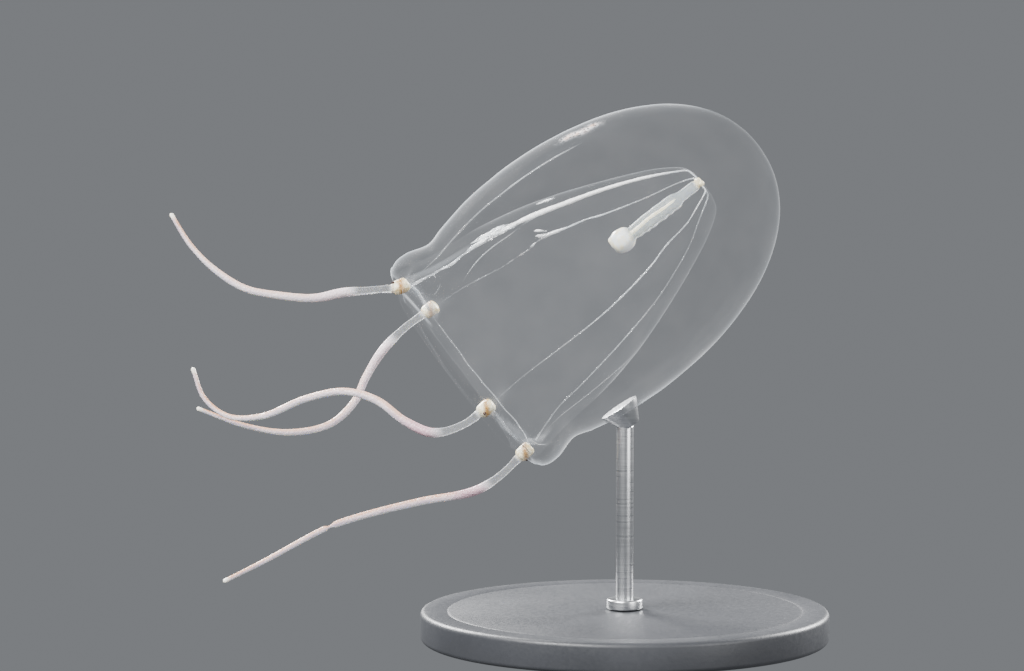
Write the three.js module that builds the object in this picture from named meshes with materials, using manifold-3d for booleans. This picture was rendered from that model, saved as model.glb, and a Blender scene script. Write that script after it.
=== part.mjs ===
// A clapper jellyfish (a small hydromedusa of the genus Sarsia) as a life-size model on a stand.
//
// Units are millimetres, +Z is up. The origin is the centre of the base's underside.
// The bell is modelled in its own frame: its origin is the centre of the margin, its z axis runs
// from the margin to the top of the bell. That frame then leans into the swimming pose.
// Around the margin stand four rays, numbered 1 to 4. On each ray lie a radial canal, a tentacle
// bulb with its eyespot, and a tentacle.
import * as THREE from 'three';
import { mergeVertices } from 'three/addons/utils/BufferGeometryUtils.js';
import Module from 'manifold-3d';

const wasm = await Module();
wasm.setup();

// ---------------------------------------------------------------- driving dimensions

// Pose, in degrees.
const LEAN = 53; // bell axis away from the vertical
const TURN = 3; // top of the bell towards the front
const PITCH = -5; // whole animal, nodding towards the front
const MARGIN_PLACE = [-7.93, 0, 13.35];

// Bell, outside.
const BELL_HEIGHT = 18;
const BELL_RADIUS = 6.6;
const WIDEST_AT = 7.1;
const DOME_POWER = 2.15; // 2 is an ellipse, more is squarer
const BELL_SHIFT = 0.06; // the outside sits a little off the axis of the cavity
const SKIRT = [[5.45, -0.04], [5.9, 0.1], [6.16, 0.55], [6.17, 1.2], [5.88, 2.35], [6.12, 3.3], [6.47, 5.1]];
const WAIST_AT = 2.35; // groove above the marginal lip

// Bell, inside.
const CAVITY = [[5.6, -0.3], [5.6, 0.5], [5.27, 2.3], [5, 4.8], [4.4, 7.5], [3.3, 10.65], [2, 13.5], [1.25, 14.5]];
const CAVITY_HEIGHT = 14.75;
const APEX_FROM = 14.55; // the top of the bell is one piece from here up

// Rays, by azimuth in the bell's frame, and how far each bulb sits above the margin plane.
const RAYS = [
  { azimuth: -150.4, rise: 0.2 },
  { azimuth: -67.3, rise: 0.12 },
  { azimuth: 24.9, rise: -0.17 },
  { azimuth: 125.9, rise: 0.18 },
];
const BULB_RING_RADIUS = 5.65;
const BULB_SIZE = [0.44, 0.44, 0.52]; // half sizes
const OCELLUS_RADIUS = 0.16;
const OCELLUS_DROP = 0.17;

// Margin.
const RING_CANAL = { ringRadius: 5.4, height: 0.27, radius: 0.14 };
const VELUM = { outerRadius: 5.46, innerRadius: 4.4, drop: 0.4, thickness: 0.18 };

// Canals and manubrium.
const CANAL_RADIUS = 0.13;
const CANAL_START = [0.4, 0.9]; // radii of its first two points, under the ceiling of the cavity
const CANAL_HEIGHTS = [14, 12.8, 11.2, 9.3, 7.3, 5.2, 3.2, 1.7, 0.75];
const CANAL_SWAY = [ // how far each canal strays from its ray, in degrees at each of those heights
  [-2, -2, -1.5, -1, -1, -1.5, 0, 1, 1],
  [-3, 1.5, 2, 4, 3.7, 2, 1, 0, 0],
  [30, 17, 12, 9.5, 10.8, 10.5, 9, 6, 1.5],
  [-5, -6.5, -5.4, -1.4, 2, -1.3, 0, 1, 0],
];
const MANUBRIUM_SHIFT = -0.28;
const KNOB_RADIUS = 0.24;
const KNOB_HEIGHT = 14.62;
const MANUBRIUM = [[0.2, 14.3], [0.19, 13.85], [0.3, 13.5], [0.34, 12.8], [0.33, 12], [0.35, 11.3], [0.3, 10.6]];
const MOUTH_RADIUS = 0.6;
const MOUTH_HEIGHT = 9.97;
const DIMPLE_RADIUS = 0.2; // the mouth itself

// Tentacles: centre lines in the bell's frame, from the bulb to the tip.
const TENTACLE_RADIUS = 0.26;
const TIP_RADIUS = 0.25;
const TENTACLE_ROUTES = [
  [
    [-4.95, -2.75, 0.05], [-5.6, -2.95, -1], [-6.3, -3.2, -2.1], [-6.95, -3.55, -3.4], [-8.05, -3.75, -4.65],
    [-9.3, -3.8, -5.75], [-10.95, -3.55, -6.4], [-12.6, -3.15, -6.65], [-14.4, -2.65, -6.55],
  ],
  [
    [2.2, -5.3, -0.15], [2.15, -5.25, -1.25], [1.6, -5.15, -2.6], [0.4, -4.8, -3.35], [-1.25, -4.3, -3.9],
    [-2.5, -3.95, -4.9], [-3.35, -3.45, -6.65], [-3.95, -2.85, -8.9], [-4.95, -2.45, -10.25],
    [-6.35, -2.05, -10.7], [-7.9, -1.75, -10.3],
  ],
  [
    [5.25, 2.4, -0.45], [5.35, 2.5, -1.9], [5.2, 2.65, -3.35], [4, 2.8, -5.85], [2.75, 2.65, -8.8],
    [2.25, 2.35, -10.35], [1.7, 1.8, -13.75], [1.3, 1.25, -15.85],
  ],
  [
    [-3.25, 4.6, -0.05], [-3.35, 4.65, -1.45], [-3.1, 4.55, -3], [-2.55, 4.3, -4.4], [-1.9, 3.9, -5.6],
    [-1.75, 3.35, -7.15], [-2.6, 2.55, -8.9], [-4.2, 1.75, -10.4], [-6.3, 1.1, -11.7],
  ],
];
const TENTACLE_LENGTHS = 4;

// Display stand.
const BASE = { radius: 10, height: 1.5, chamfer: 0.35 };
const ROD_RADIUS = 0.42;
const SADDLE = { topRadius: 1.02, bottomRadius: 0.46, height: 1.1, place: [0, 0, 11], tilt: 34 };

// Fineness and clearance.
const GAP = 0.04; // between pieces that touch in life
const AROUND = 30;
const DOME_STEPS = 8;
const SKIRT_STEPS = 10;
const CAVITY_STEPS = 8;
const STALK_STEPS = 9;
const CANAL_STEPS = 13;
const TENTACLE_STEPS = 7; // in each length
const FAR = 14; // beyond the bell in every direction

// ---------------------------------------------------------------- finishes

const finishes = {
  jelly: { color: 0xdfe8ea, roughness: 0.08, metalness: 0, transparent: true, opacity: 0.35 },
  canal: { color: 0xe9eef0, roughness: 0.3, metalness: 0 },
  manubrium: { color: 0xdcdccb, roughness: 0.4, metalness: 0 },
  bulb: { color: 0xe3bf8e, roughness: 0.45, metalness: 0 },
  ocellus: { color: 0x1c130f, roughness: 0.3, metalness: 0 },
  tentacle: { color: 0xd9c6cb, roughness: 0.45, metalness: 0 },
  base: { color: 0x33363a, roughness: 0.45, metalness: 0 },
  steel: { color: 0xb6babd, roughness: 0.3, metalness: 1 },
};

// ---------------------------------------------------------------- solids and nodes

const rad = THREE.MathUtils.degToRad;

// A closed solid from a geometry. Triangles that shrink to a line at a pole are dropped.
function solid(geometry) {
  geometry.deleteAttribute('normal');
  geometry.deleteAttribute('uv');
  const merged = mergeVertices(geometry, 1e-5);
  const corners = merged.index.array;
  const triangles = [];
  for (let i = 0; i < corners.length; i += 3) {
    const [a, b, c] = corners.slice(i, i + 3);
    if (a !== b && b !== c && c !== a) triangles.push(a, b, c);
  }
  const mesh = new wasm.Mesh({
    numProp: 3,
    vertProperties: merged.getAttribute('position').array,
    triVerts: new Uint32Array(triangles),
  });
  return new wasm.Manifold(mesh);
}

function addNode(parent, name, body, finish) {
  const { vertProperties, triVerts } = body.getMesh();
  const geometry = new THREE.BufferGeometry();
  geometry.setAttribute('position', new THREE.BufferAttribute(new Float32Array(vertProperties), 3));
  geometry.setIndex(new THREE.BufferAttribute(new Uint32Array(triVerts), 1));
  geometry.computeVertexNormals();
  const mesh = new THREE.Mesh(geometry, new THREE.MeshStandardMaterial(finishes[finish]));
  mesh.name = name;
  parent.add(mesh);
}

// A solid of revolution about z from (radius, height) pairs.
function turned(pairs, segments = AROUND) {
  const profile = pairs.map(([radius, height]) => new THREE.Vector2(radius, height));
  return solid(new THREE.LatheGeometry(profile, segments).rotateX(Math.PI / 2));
}

function ball(radii, centre, segments = 8) {
  const geometry = new THREE.SphereGeometry(1, segments, Math.ceil(segments * 0.75));
  geometry.scale(...radii);
  return solid(geometry.translate(...centre));
}

function round(radius, centre, segments = 8) {
  return ball([radius, radius, radius], centre, segments);
}

// A round tube along a curve.
function tube(curve, radius, sides, steps) {
  const section = new THREE.Shape();
  for (let i = 0; i < sides; i += 1) {
    const angle = (i / sides) * 2 * Math.PI;
    const corner = [radius * Math.cos(angle), radius * Math.sin(angle)];
    if (i === 0) section.moveTo(...corner);
    else section.lineTo(...corner);
  }
  section.closePath();
  return solid(new THREE.ExtrudeGeometry(section, { steps, extrudePath: curve, bevelEnabled: false }));
}

function smooth(pairs, steps) {
  const curve = new THREE.SplineCurve(pairs.map((pair) => new THREE.Vector2(...pair)));
  return curve.getSpacedPoints(steps).map((point) => [point.x, point.y]);
}

function onRay(ray, radius, height) {
  const azimuth = rad(ray.azimuth);
  return [radius * Math.cos(azimuth), radius * Math.sin(azimuth), height];
}

// ---------------------------------------------------------------- bell

// The whole outside as one solid: a lipped skirt below the widest ring and a dome above it.
function bellOutside(grow = 0) {
  const skirt = smooth([...SKIRT, [BELL_RADIUS, WIDEST_AT]], SKIRT_STEPS);
  const dome = [];
  for (let i = 1; i < DOME_STEPS; i += 1) {
    const angle = (i / DOME_STEPS) * (Math.PI / 2);
    const radius = BELL_RADIUS * Math.cos(angle) ** (2 / DOME_POWER);
    const height = WIDEST_AT + (BELL_HEIGHT - WIDEST_AT) * Math.sin(angle) ** (2 / DOME_POWER);
    dome.push([radius, height]);
  }
  const side = [...skirt, ...dome].map(([radius, height]) => [radius + grow, height]);
  const bottom = [0, side[0][1]];
  const outside = turned([bottom, ...side, [0, BELL_HEIGHT + grow]]);
  return outside.translate([BELL_SHIFT, 0, 0]);
}

const cavityOutline = smooth(CAVITY, CAVITY_STEPS);

function cavity() {
  const bottom = [0, cavityOutline[0][1]];
  return turned([bottom, ...cavityOutline, [0, CAVITY_HEIGHT]]);
}

// Radius of the cavity at a height, between the points of its outline.
function cavityRadius(height) {
  const upper = cavityOutline.findIndex((point) => point[1] >= height);
  const [below, above] = [cavityOutline[upper - 1], cavityOutline[upper]];
  const share = (height - below[1]) / (above[1] - below[1]);
  return THREE.MathUtils.lerp(below[0], above[0], share);
}

// A slab between two heights, for parting the bell into tiers.
function tier(from, to) {
  const slab = new THREE.BoxGeometry(2 * FAR, 2 * FAR, to - from);
  return solid(slab.translate(0, 0, (from + to) / 2));
}

function nextRay(index) {
  return RAYS[(index + 1) % RAYS.length];
}

// The quarter between two rays, drawn back from both by half a gap.
function quarter(ray, next) {
  const start = rad(ray.azimuth);
  const end = rad(next.azimuth < ray.azimuth ? next.azimuth + 360 : next.azimuth);
  const middle = (start + end) / 2;
  const back = GAP / 2 / Math.sin((end - start) / 2);
  const corner = (angle, reach) => [
    back * Math.cos(middle) + reach * Math.cos(angle),
    back * Math.sin(middle) + reach * Math.sin(angle),
  ];
  const shape = new THREE.Shape();
  shape.moveTo(...corner(middle, 0));
  shape.lineTo(...corner(start, FAR));
  shape.lineTo(...corner(middle, 2 * FAR));
  shape.lineTo(...corner(end, FAR));
  shape.closePath();
  const wedge = new THREE.ExtrudeGeometry(shape, { depth: 2 * FAR, bevelEnabled: false });
  return solid(wedge.translate(0, 0, -FAR / 2));
}

function ocellusPlace(ray) {
  return onRay(ray, BULB_RING_RADIUS + BULB_SIZE[0] - OCELLUS_RADIUS / 3, ray.rise - OCELLUS_DROP);
}

function bulb(ray, grow = 0) {
  const radii = BULB_SIZE.map((size) => size + grow);
  return ball(radii, onRay(ray, BULB_RING_RADIUS, ray.rise), 10);
}

function ocellus(ray, grow = 0) {
  return round(OCELLUS_RADIUS + grow, ocellusPlace(ray));
}

function knob(grow = 0) {
  return round(KNOB_RADIUS + grow, [MANUBRIUM_SHIFT, 0, KNOB_HEIGHT]);
}

// Cuts the room for every bulb out of a piece of the margin.
function clearOfBulbs(body) {
  return RAYS.reduce((left, ray) => left.subtract(bulb(ray, GAP)), body);
}

function clearOfOcelli(body) {
  return RAYS.reduce((left, ray) => left.subtract(ocellus(ray, GAP)), body);
}

function addBell(bell) {
  const jelly = bellOutside().subtract(cavity());
  const apex = jelly.intersect(tier(APEX_FROM, BELL_HEIGHT + 1)).subtract(knob(GAP));
  addNode(bell, 'bell_apex', apex, 'jelly');
  const wall = jelly.intersect(tier(WAIST_AT, APEX_FROM - GAP));
  const lip = clearOfOcelli(clearOfBulbs(jelly.intersect(tier(-1, WAIST_AT - GAP))));
  RAYS.forEach((ray, index) => {
    const side = quarter(ray, nextRay(index));
    addNode(bell, `bell_wall_${index + 1}`, wall.intersect(side), 'jelly');
    addNode(bell, `bell_margin_${index + 1}`, lip.intersect(side), 'jelly');
  });
}

// ---------------------------------------------------------------- margin and canals

function addMargin(bell) {
  const { outerRadius, innerRadius, drop, thickness } = VELUM;
  const velum = turned([
    [outerRadius, -thickness / 2],
    [outerRadius, thickness / 2],
    [innerRadius, thickness / 2 - drop],
    [innerRadius, -thickness / 2 - drop],
    [outerRadius, -thickness / 2],
  ]);
  addNode(bell, 'velum', clearOfBulbs(velum), 'jelly');

  const { ringRadius, height, radius } = RING_CANAL;
  const torus = new THREE.TorusGeometry(ringRadius, radius, 5, AROUND).translate(0, 0, height);
  const ring = clearOfBulbs(solid(torus));
  RAYS.forEach((ray, index) => {
    addNode(bell, `ring_canal_${index + 1}`, ring.intersect(quarter(ray, nextRay(index))), 'canal');
  });
}

// A radial canal leaves the knob along the ceiling and runs down the wall to its bulb.
function addRadialCanal(bell, ray, index) {
  const inset = CANAL_RADIUS + 2 * GAP;
  const swayed = (place) => ({ azimuth: ray.azimuth + CANAL_SWAY[index][place] });
  const points = [
    ...CANAL_START.map((radius) => onRay(swayed(0), radius, CAVITY_HEIGHT - inset)),
    ...CANAL_HEIGHTS.map((height, place) => onRay(swayed(place), cavityRadius(height) - inset, height)),
  ];
  const curve = new THREE.CatmullRomCurve3(points.map((point) => new THREE.Vector3(...point)));
  const canal = tube(curve, CANAL_RADIUS, 5, CANAL_STEPS);
  addNode(bell, `radial_canal_${index + 1}`, canal.subtract(bulb(ray, GAP)).subtract(knob(GAP)), 'canal');
}

// ---------------------------------------------------------------- manubrium

function mouthBall(grow = 0) {
  return round(MOUTH_RADIUS + grow, [MANUBRIUM_SHIFT, 0, MOUTH_HEIGHT], 12);
}

function addManubrium(bell) {
  addNode(bell, 'apical_knob', knob(), 'manubrium');
  const outline = smooth([...MANUBRIUM].reverse(), STALK_STEPS);
  const stalk = turned([[0, outline[0][1]], ...outline, [0, outline.at(-1)[1]]], 12);
  const hanging = stalk.translate([MANUBRIUM_SHIFT, 0, 0]);
  addNode(bell, 'manubrium_tube', hanging.subtract(mouthBall(GAP)).subtract(knob(GAP)), 'manubrium');
  const dimple = round(DIMPLE_RADIUS, [MANUBRIUM_SHIFT, 0, MOUTH_HEIGHT - MOUTH_RADIUS]);
  addNode(bell, 'manubrium_mouth', mouthBall().subtract(dimple), 'manubrium');
}

// ---------------------------------------------------------------- tentacles

// One tentacle, parted into a few lengths, with a round tip.
function addTentacle(bell, ray, index) {
  const route = TENTACLE_ROUTES[index].map((point) => new THREE.Vector3(...point));
  const centreLine = new THREE.CatmullRomCurve3(route);
  const halfGap = GAP / 2 / centreLine.getLength();
  for (let part = 0; part < TENTACLE_LENGTHS; part += 1) {
    const from = part / TENTACLE_LENGTHS + halfGap;
    const to = (part + 1) / TENTACLE_LENGTHS - halfGap;
    const points = [];
    for (let i = 0; i <= TENTACLE_STEPS; i += 1) {
      points.push(centreLine.getPointAt(THREE.MathUtils.lerp(from, to, i / TENTACLE_STEPS)));
    }
    let body = tube(new THREE.CatmullRomCurve3(points), TENTACLE_RADIUS, 7, TENTACLE_STEPS);
    if (part === 0) body = body.subtract(bulb(ray, GAP));
    if (part === TENTACLE_LENGTHS - 1) body = body.add(round(TIP_RADIUS, points.at(-1).toArray(), 6));
    addNode(bell, `tentacle_${index + 1}_length_${part + 1}`, body, 'tentacle');
  }
}

// ---------------------------------------------------------------- stand

function addStand(scene, bell) {
  const { radius, height, chamfer } = BASE;
  const base = turned([
    [0, 0],
    [radius - chamfer / 2, 0],
    [radius, chamfer / 2],
    [radius, height - chamfer],
    [radius - chamfer, height],
    [0, height],
  ]);
  addNode(scene, 'stand_base', base, 'base');

  // The saddle is a cone leaning square to the underside of the bell, hollowed to fit it.
  const bellBody = bellOutside(GAP).transform(bell.matrixWorld.elements);
  const cone = (grow) => {
    const blank = new THREE.CylinderGeometry(SADDLE.topRadius, SADDLE.bottomRadius + grow, SADDLE.height, 16);
    blank.rotateX(Math.PI / 2);
    blank.translate(0, 0, grow ? -GAP : 0);
    blank.rotateY(rad(-SADDLE.tilt));
    return solid(blank.translate(...SADDLE.place));
  };
  addNode(scene, 'stand_saddle', cone(0).subtract(bellBody), 'steel');

  const top = SADDLE.place[2];
  const rod = new THREE.CylinderGeometry(ROD_RADIUS, ROD_RADIUS, top - height - GAP, 12);
  rod.rotateX(Math.PI / 2);
  rod.translate(0, 0, (top + height + GAP) / 2);
  addNode(scene, 'stand_rod', solid(rod).subtract(cone(GAP)), 'steel');
}

// ---------------------------------------------------------------- assembly

const jellyfish = new THREE.Group();
const animal = new THREE.Group();
animal.position.set(...MARGIN_PLACE);
animal.rotation.x = rad(PITCH);
const bell = new THREE.Group();
bell.rotation.set(rad(TURN), rad(LEAN), 0, 'YXZ');
jellyfish.add(animal);
animal.add(bell);
jellyfish.updateMatrixWorld(true);

addBell(bell);
addMargin(bell);
addManubrium(bell);
RAYS.forEach((ray, index) => {
  addRadialCanal(bell, ray, index);
  addNode(bell, `tentacle_bulb_${index + 1}`, bulb(ray).subtract(ocellus(ray, GAP)), 'bulb');
  addNode(bell, `ocellus_${index + 1}`, ocellus(ray), 'ocellus');
  addTentacle(bell, ray, index);
});
addStand(jellyfish, bell);

export default jellyfish;
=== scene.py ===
"""A clapper jellyfish, life size, as a museum model on a plain stand."""

import math

import bpy
from bpy.props import FloatProperty, FloatVectorProperty, IntProperty, PointerProperty
from mathutils import Matrix, Vector
from mathutils.kdtree import KDTree


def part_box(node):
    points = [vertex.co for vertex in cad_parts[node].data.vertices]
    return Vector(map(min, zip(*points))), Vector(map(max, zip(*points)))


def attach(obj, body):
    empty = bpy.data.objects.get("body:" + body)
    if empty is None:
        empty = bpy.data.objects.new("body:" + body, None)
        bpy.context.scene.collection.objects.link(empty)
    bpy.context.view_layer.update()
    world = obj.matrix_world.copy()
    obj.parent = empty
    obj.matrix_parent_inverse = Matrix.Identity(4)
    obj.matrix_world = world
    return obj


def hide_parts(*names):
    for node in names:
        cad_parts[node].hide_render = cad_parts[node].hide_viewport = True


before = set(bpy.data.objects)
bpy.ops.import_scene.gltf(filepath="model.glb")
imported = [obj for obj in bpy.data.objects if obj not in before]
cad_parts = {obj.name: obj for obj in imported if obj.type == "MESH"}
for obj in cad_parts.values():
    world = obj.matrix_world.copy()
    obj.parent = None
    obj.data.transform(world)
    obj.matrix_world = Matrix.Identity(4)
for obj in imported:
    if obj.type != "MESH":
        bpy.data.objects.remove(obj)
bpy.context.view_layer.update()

bl_info = {
    "name": "Clapper jellyfish",
    "version": (1, 0, 0),
    "blender": (4, 5, 0),
    "location": "3D View > Sidebar > Jellyfish",
    "description": "Builds a glass-clear jellyfish with four tentacles on a display stand",
    "category": "Object",
}

MM = 0.001

# ---------------------------------------------------------------- sizes of the solids, in mm and degrees
# These repeat the solids' own sizes. The skins are laid over the same shapes.

LEAN, TURN, PITCH = 53, 3, -5
BELL_HEIGHT, BELL_RADIUS, WIDEST_AT, DOME_POWER = 18, 6.6, 7.1, 2.15
BELL_SHIFT = 0.06
SKIRT = [
    (6.6, 7.1), (6.47, 5.1), (6.12, 3.3), (5.88, 2.35), (6.17, 1.2), (6.16, 0.55), (5.9, 0.1), (5.66, -0.02),
]
VELUM_SHEET = [
    (5.5, -0.04), (5.2, -0.15), (4.8, -0.3), (4.46, -0.43), (4.41, -0.42),
    (4.4, -0.39), (4.44, -0.37), (4.8, -0.25), (5.2, -0.1), (5.43, 0.02), (5.55, 0.2),
]
VELUM_ROOT = (5.58, 0.36)
VELUM_TOP, VELUM_RADIUS = 0.1, 5.5
CAVITY = [(5.6, 0.5), (5.27, 2.3), (5, 4.8), (4.4, 7.5), (3.3, 10.65), (2, 13.5), (1.25, 14.5)]
CEILING = [(0.9, 14.66), (0.5, 14.73), (0.3, 14.74), (0, 14.75)]
CAVITY_HEIGHT = 14.75
# Skin above CEILING_TOP is outside. Below CAVITY_FOOT, skin within the foot's radius is inside.
CEILING_TOP, CAVITY_FOOT, CAVITY_FOOT_RADIUS = 14.76, 0.3, 5.62
# Each tentacle: the azimuth of its bulb and how far the bulb stands above the margin.
RAYS = [(-150.4, 0.2), (-67.3, 0.12), (24.9, -0.17), (125.9, 0.18)]
BULB_RING_RADIUS = 5.65
BULB_HALF_WIDTH = 0.44
OCELLUS_RADIUS, OCELLUS_DROP = 0.16, 0.17
RING_CANAL_RADIUS, RING_CANAL_HEIGHT = 5.4, 0.27
MANUBRIUM_SHIFT = -0.28
KNOB_HEIGHT = 14.62
MANUBRIUM = [
    (0.14, 14.6), (0.25, 14.4), (0.265, 14), (0.26, 13.65), (0.29, 13.4), (0.37, 13.2), (0.4, 12.9),
    (0.395, 12.5), (0.41, 12.2), (0.395, 11.9), (0.4, 11.5), (0.375, 11.1), (0.35, 10.8), (0.325, 10.62),
]
MOUTH = [
    (0.34, 10.54), (0.44, 10.44), (0.55, 10.24), (0.6, 9.97), (0.56, 9.72), (0.43, 9.5), (0.27, 9.41),
    (0.12, 9.39), (0.05, 9.46),
]
TENTACLE_ROUTES = [
    [(-4.95, -2.75, 0.05), (-5.6, -2.95, -1), (-6.3, -3.2, -2.1), (-6.95, -3.55, -3.4), (-8.05, -3.75, -4.65),
     (-9.3, -3.8, -5.75), (-10.95, -3.55, -6.4), (-12.6, -3.15, -6.65), (-14.4, -2.65, -6.55)],
    [(2.2, -5.3, -0.15), (2.15, -5.25, -1.25), (1.6, -5.15, -2.6), (0.4, -4.8, -3.35), (-1.25, -4.3, -3.9),
     (-2.5, -3.95, -4.9), (-3.35, -3.45, -6.65), (-3.95, -2.85, -8.9), (-4.95, -2.45, -10.25),
     (-6.35, -2.05, -10.7), (-7.9, -1.75, -10.3)],
    [(5.25, 2.4, -0.45), (5.35, 2.5, -1.9), (5.2, 2.65, -3.35), (4, 2.8, -5.85), (2.75, 2.65, -8.8),
     (2.25, 2.35, -10.35), (1.7, 1.8, -13.75), (1.3, 1.25, -15.85)],
    [(-3.25, 4.6, -0.05), (-3.35, 4.65, -1.45), (-3.1, 4.55, -3), (-2.55, 4.3, -4.4), (-1.9, 3.9, -5.6),
     (-1.75, 3.35, -7.15), (-2.6, 2.55, -8.9), (-4.2, 1.75, -10.4), (-6.3, 1.1, -11.7)],
]
TENTACLE_LENGTHS = 4
BASE_RADIUS, BASE_HEIGHT, BASE_EDGE = 10, 1.5, 0.35
ROD_RADIUS = 0.42
SADDLE_TOP, SADDLE_BOTTOM, SADDLE_HEIGHT, SADDLE_TILT = 1.02, 0.46, 1.1, 34
SADDLE_PLACE = (0, 0, 11)

# ---------------------------------------------------------------- forms and looks of the skins, in mm

# Furrows run down the rays, and the lip is notched over each bulb. Each run is (from, to, ease) in height.
FURROW_WIDTH, FURROW_RUN = 0.45, (2.2, 13, 3)
NOTCH_WIDTH, NOTCH_RUN, NOTCH_DEPTH, NOTCH_FROM_RADIUS = 0.6, (-1, 1.2, 1.2), 0.55, 5.3
WAVE_RUN, WAVE_SIZE = (0.6, 30, 1), 2.6
# Parts of the margin: a middle azimuth, and the turns from it to the start and the end, and the ease.
MILKY_BANDS = (-53, -16, 20, 10), (143, -18, 18, 8)
RING_BANDS = (-52, -17, 15, 8), (142, -16, 16, 10)
RING_FAR_SIDE, RING_DIP = (75, -50, 50, 8), (95, -32, 32, 30)
FOLD_PART = (-98, -28, 30, 16)
# The first milky band climbs from this azimuth by mm to a degree, up to a height.
CLIMB_FROM, CLIMB_SLOPE, CLIMB_MOST = -62.6, 0.0215, 0.5
WEB_AZIMUTH, WEB_RUN = -150.5, (0, 4.2, 2.5)
# A painted highlight: a bright streak painted on the outer wall at this azimuth, over this run of heights.
PAINTED_GLINT_AZIMUTH, PAINTED_GLINT_RUN = -159, (10.6, 12.4, 0.5)
# The fold in the velum: (azimuth, radius). The painted rim shine of the bell's two flanks, more on the upper
# one: (height, share).
VELUM_FOLD = [(-130, 5.4), (-112, 5.0), (-95, 4.65), (-72, 4.75)]
UPPER_SHINE = [(15.5, 1), (17.6, 0.3)]
LOWER_SHINE = [(6.5, 0.85), (9, 0.6), (11.5, 0.42), (14.5, 0.32), (17.6, 0.25)]
MARGIN_SHINE = 0.03

# A canal's first places on the ceiling: the radius and how far under the ceiling.
CANAL_ROOT = [(0.55, 0.09), (1.05, 0.2)]
# Where a frayed canal is lumpy and where it is torn: (from, to, ease) in height.
LUMPY_RUN, TORN_RUN = (3.9, 6.4, 0.8), (0.4, 6.3, 0.7)
# Each radial canal: how much of its thickness it keeps, how far it stands in from the wall,
# and (azimuth, height, half width, solidity) along it.
CANALS = [
    (0.9, 0.12, [
        (-172, 14.5, 0.04, 0.6), (-154, 14, 0.045, 0.8), (-153, 12.5, 0.08, 1.5), (-152.5, 10.6, 0.1, 1.8),
        (-151, 8.7, 0.125, 1.8), (-151.5, 7.4, 0.14, 1.8), (-151.5, 6.4, 0.11, 1.6), (-151, 5.4, 0.14, 1.4),
        (-150.5, 4.4, 0.11, 1.2), (-149.5, 3.4, 0.045, 0.3), (-147.5, 2.8, 0.08, 1.2),
        (-148.5, 2.2, 0.05, 0.45), (-148.5, 1.6, 0.06, 0.4), (-148.5, 0.7, 0.08, 0.6),
    ]),
    (1, 0.05, [
        (-75, 14.5, 0.034, 0.42), (-70, 13.8, 0.028, 0.3), (-65.5, 13, 0.028, 0.22), (-66, 11.5, 0.034, 0.24),
        (-63.5, 10.5, 0.032, 0.4), (-63, 8.8, 0.034, 0.36), (-64, 6.8, 0.028, 0.22), (-66, 4.6, 0.026, 0.13),
        (-67, 2.4, 0.026, 0.045), (-67, 0.7, 0.03, 0.025),
    ]),
    (1, 0.05, [
        (60, 14.5, 0.034, 0.4), (54, 13.7, 0.026, 0.15), (41, 12.4, 0.024, 0.1), (36, 11.1, 0.026, 0.12),
        (34, 9.5, 0.028, 0.13), (35.5, 7.2, 0.03, 0.18), (35.5, 5.5, 0.028, 0.15), (34, 3.8, 0.026, 0.12),
        (33, 2.6, 0.026, 0.1), (29, 1.4, 0.03, 0.1), (25.5, 0.6, 0.04, 0.15),
    ]),
    (0.6, 0.05, [
        (125, 14.5, 0.034, 0.35), (120.5, 13.8, 0.028, 0.22), (119, 12.1, 0.028, 0.22),
        (122, 10.1, 0.036, 0.5), (123, 9.7, 0.045, 0.8), (125, 9.2, 0.034, 0.5),
        (126, 8.2, 0.045, 0.7), (127, 7.6, 0.09, 1.4), (128, 7.1, 0.1, 1.3),
        (127.5, 6.6, 0.022, 0.2), (126.5, 6.2, 0.055, 0.6), (125.5, 6, 0.026, 0.18),
        (125, 5.4, 0.026, 0.16), (124.5, 4.4, 0.026, 0.14), (126.5, 3.1, 0.028, 0.18),
        (127.5, 2.2, 0.026, 0.08), (126.5, 0.7, 0.03, 0.05),
    ]),
]
# Each crease or small streak in the jelly, one of them a painted highlight: half width, solidity, and
# (azimuth, height, depth) along it, with depth from 0 at the outer wall to 1 at the inner wall.
CREASES = [
    (0.032, 0.26, [(-149.5, 11.3, 0.05), (-149.5, 9.4, 0.055), (-149.5, 7.5, 0.06), (-150, 6.2, 0.08)]),
    (0.034, 0.12, [
        (-149.5, 8.4, 0.06), (-150, 5.9, 0.08), (-150, 4.8, 0.1), (-150.5, 3.7, 0.15), (-151, 3.1, 0.2),
        (-151.5, 2.4, 0.3), (-151, 1.7, 0.6), (-150.5, 1, 0.95),
    ]),
    (0.024, 0.2, [
        (-144.5, 6.5, 1), (-142, 6, 1), (-139.5, 4.9, 1), (-137, 4.1, 1), (-133.5, 3.4, 1), (-129.5, 2.8, 1),
    ]),
    (0.03, 0.14, [(-148.5, 8.4, 1), (-146.5, 7.2, 1), (-144.5, 6.5, 1)]),
    (0.02, 0.1, [
        (2, 7.8, 1), (8, 6.7, 1), (14, 5.9, 1), (19.5, 4.7, 1), (22, 3.5, 1), (24.5, 2.2, 1), (25, 1, 1),
    ]),
    # A painted highlight, not a crease: a small bright patch on the inner wall.
    (0.05, 1.3, [(-167, 8.6, 1), (-166, 8.3, 1), (-167, 8, 1), (-166.5, 7.7, 1)]),
    (0.1, 1.1, [(-153, 6.1, 1), (-153.5, 5.4, 1), (-153, 4.9, 1), (-154, 4.1, 1)]),
    (0.05, 1.1, [(-147, 6.5, 1), (-148.5, 5.6, 1), (-149.5, 4.8, 1)]),
    (0.06, 1.3, [(136, 6.7, 1), (133.5, 7, 1), (131, 7.2, 1)]),
    (0.075, 1.4, [(131.5, 6.6, 1), (130, 6.8, 1), (129, 7, 1), (127, 7.3, 1)]),
    (0.024, 0.14, [(-148.5, 1.4, 1), (-145.5, 1.8, 1), (-142, 1.8, 1)]),
    (0.02, 0.06, [(-137, 1.9, 1), (-133.5, 1.6, 1), (-131, 1.2, 1)]),
]

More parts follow.
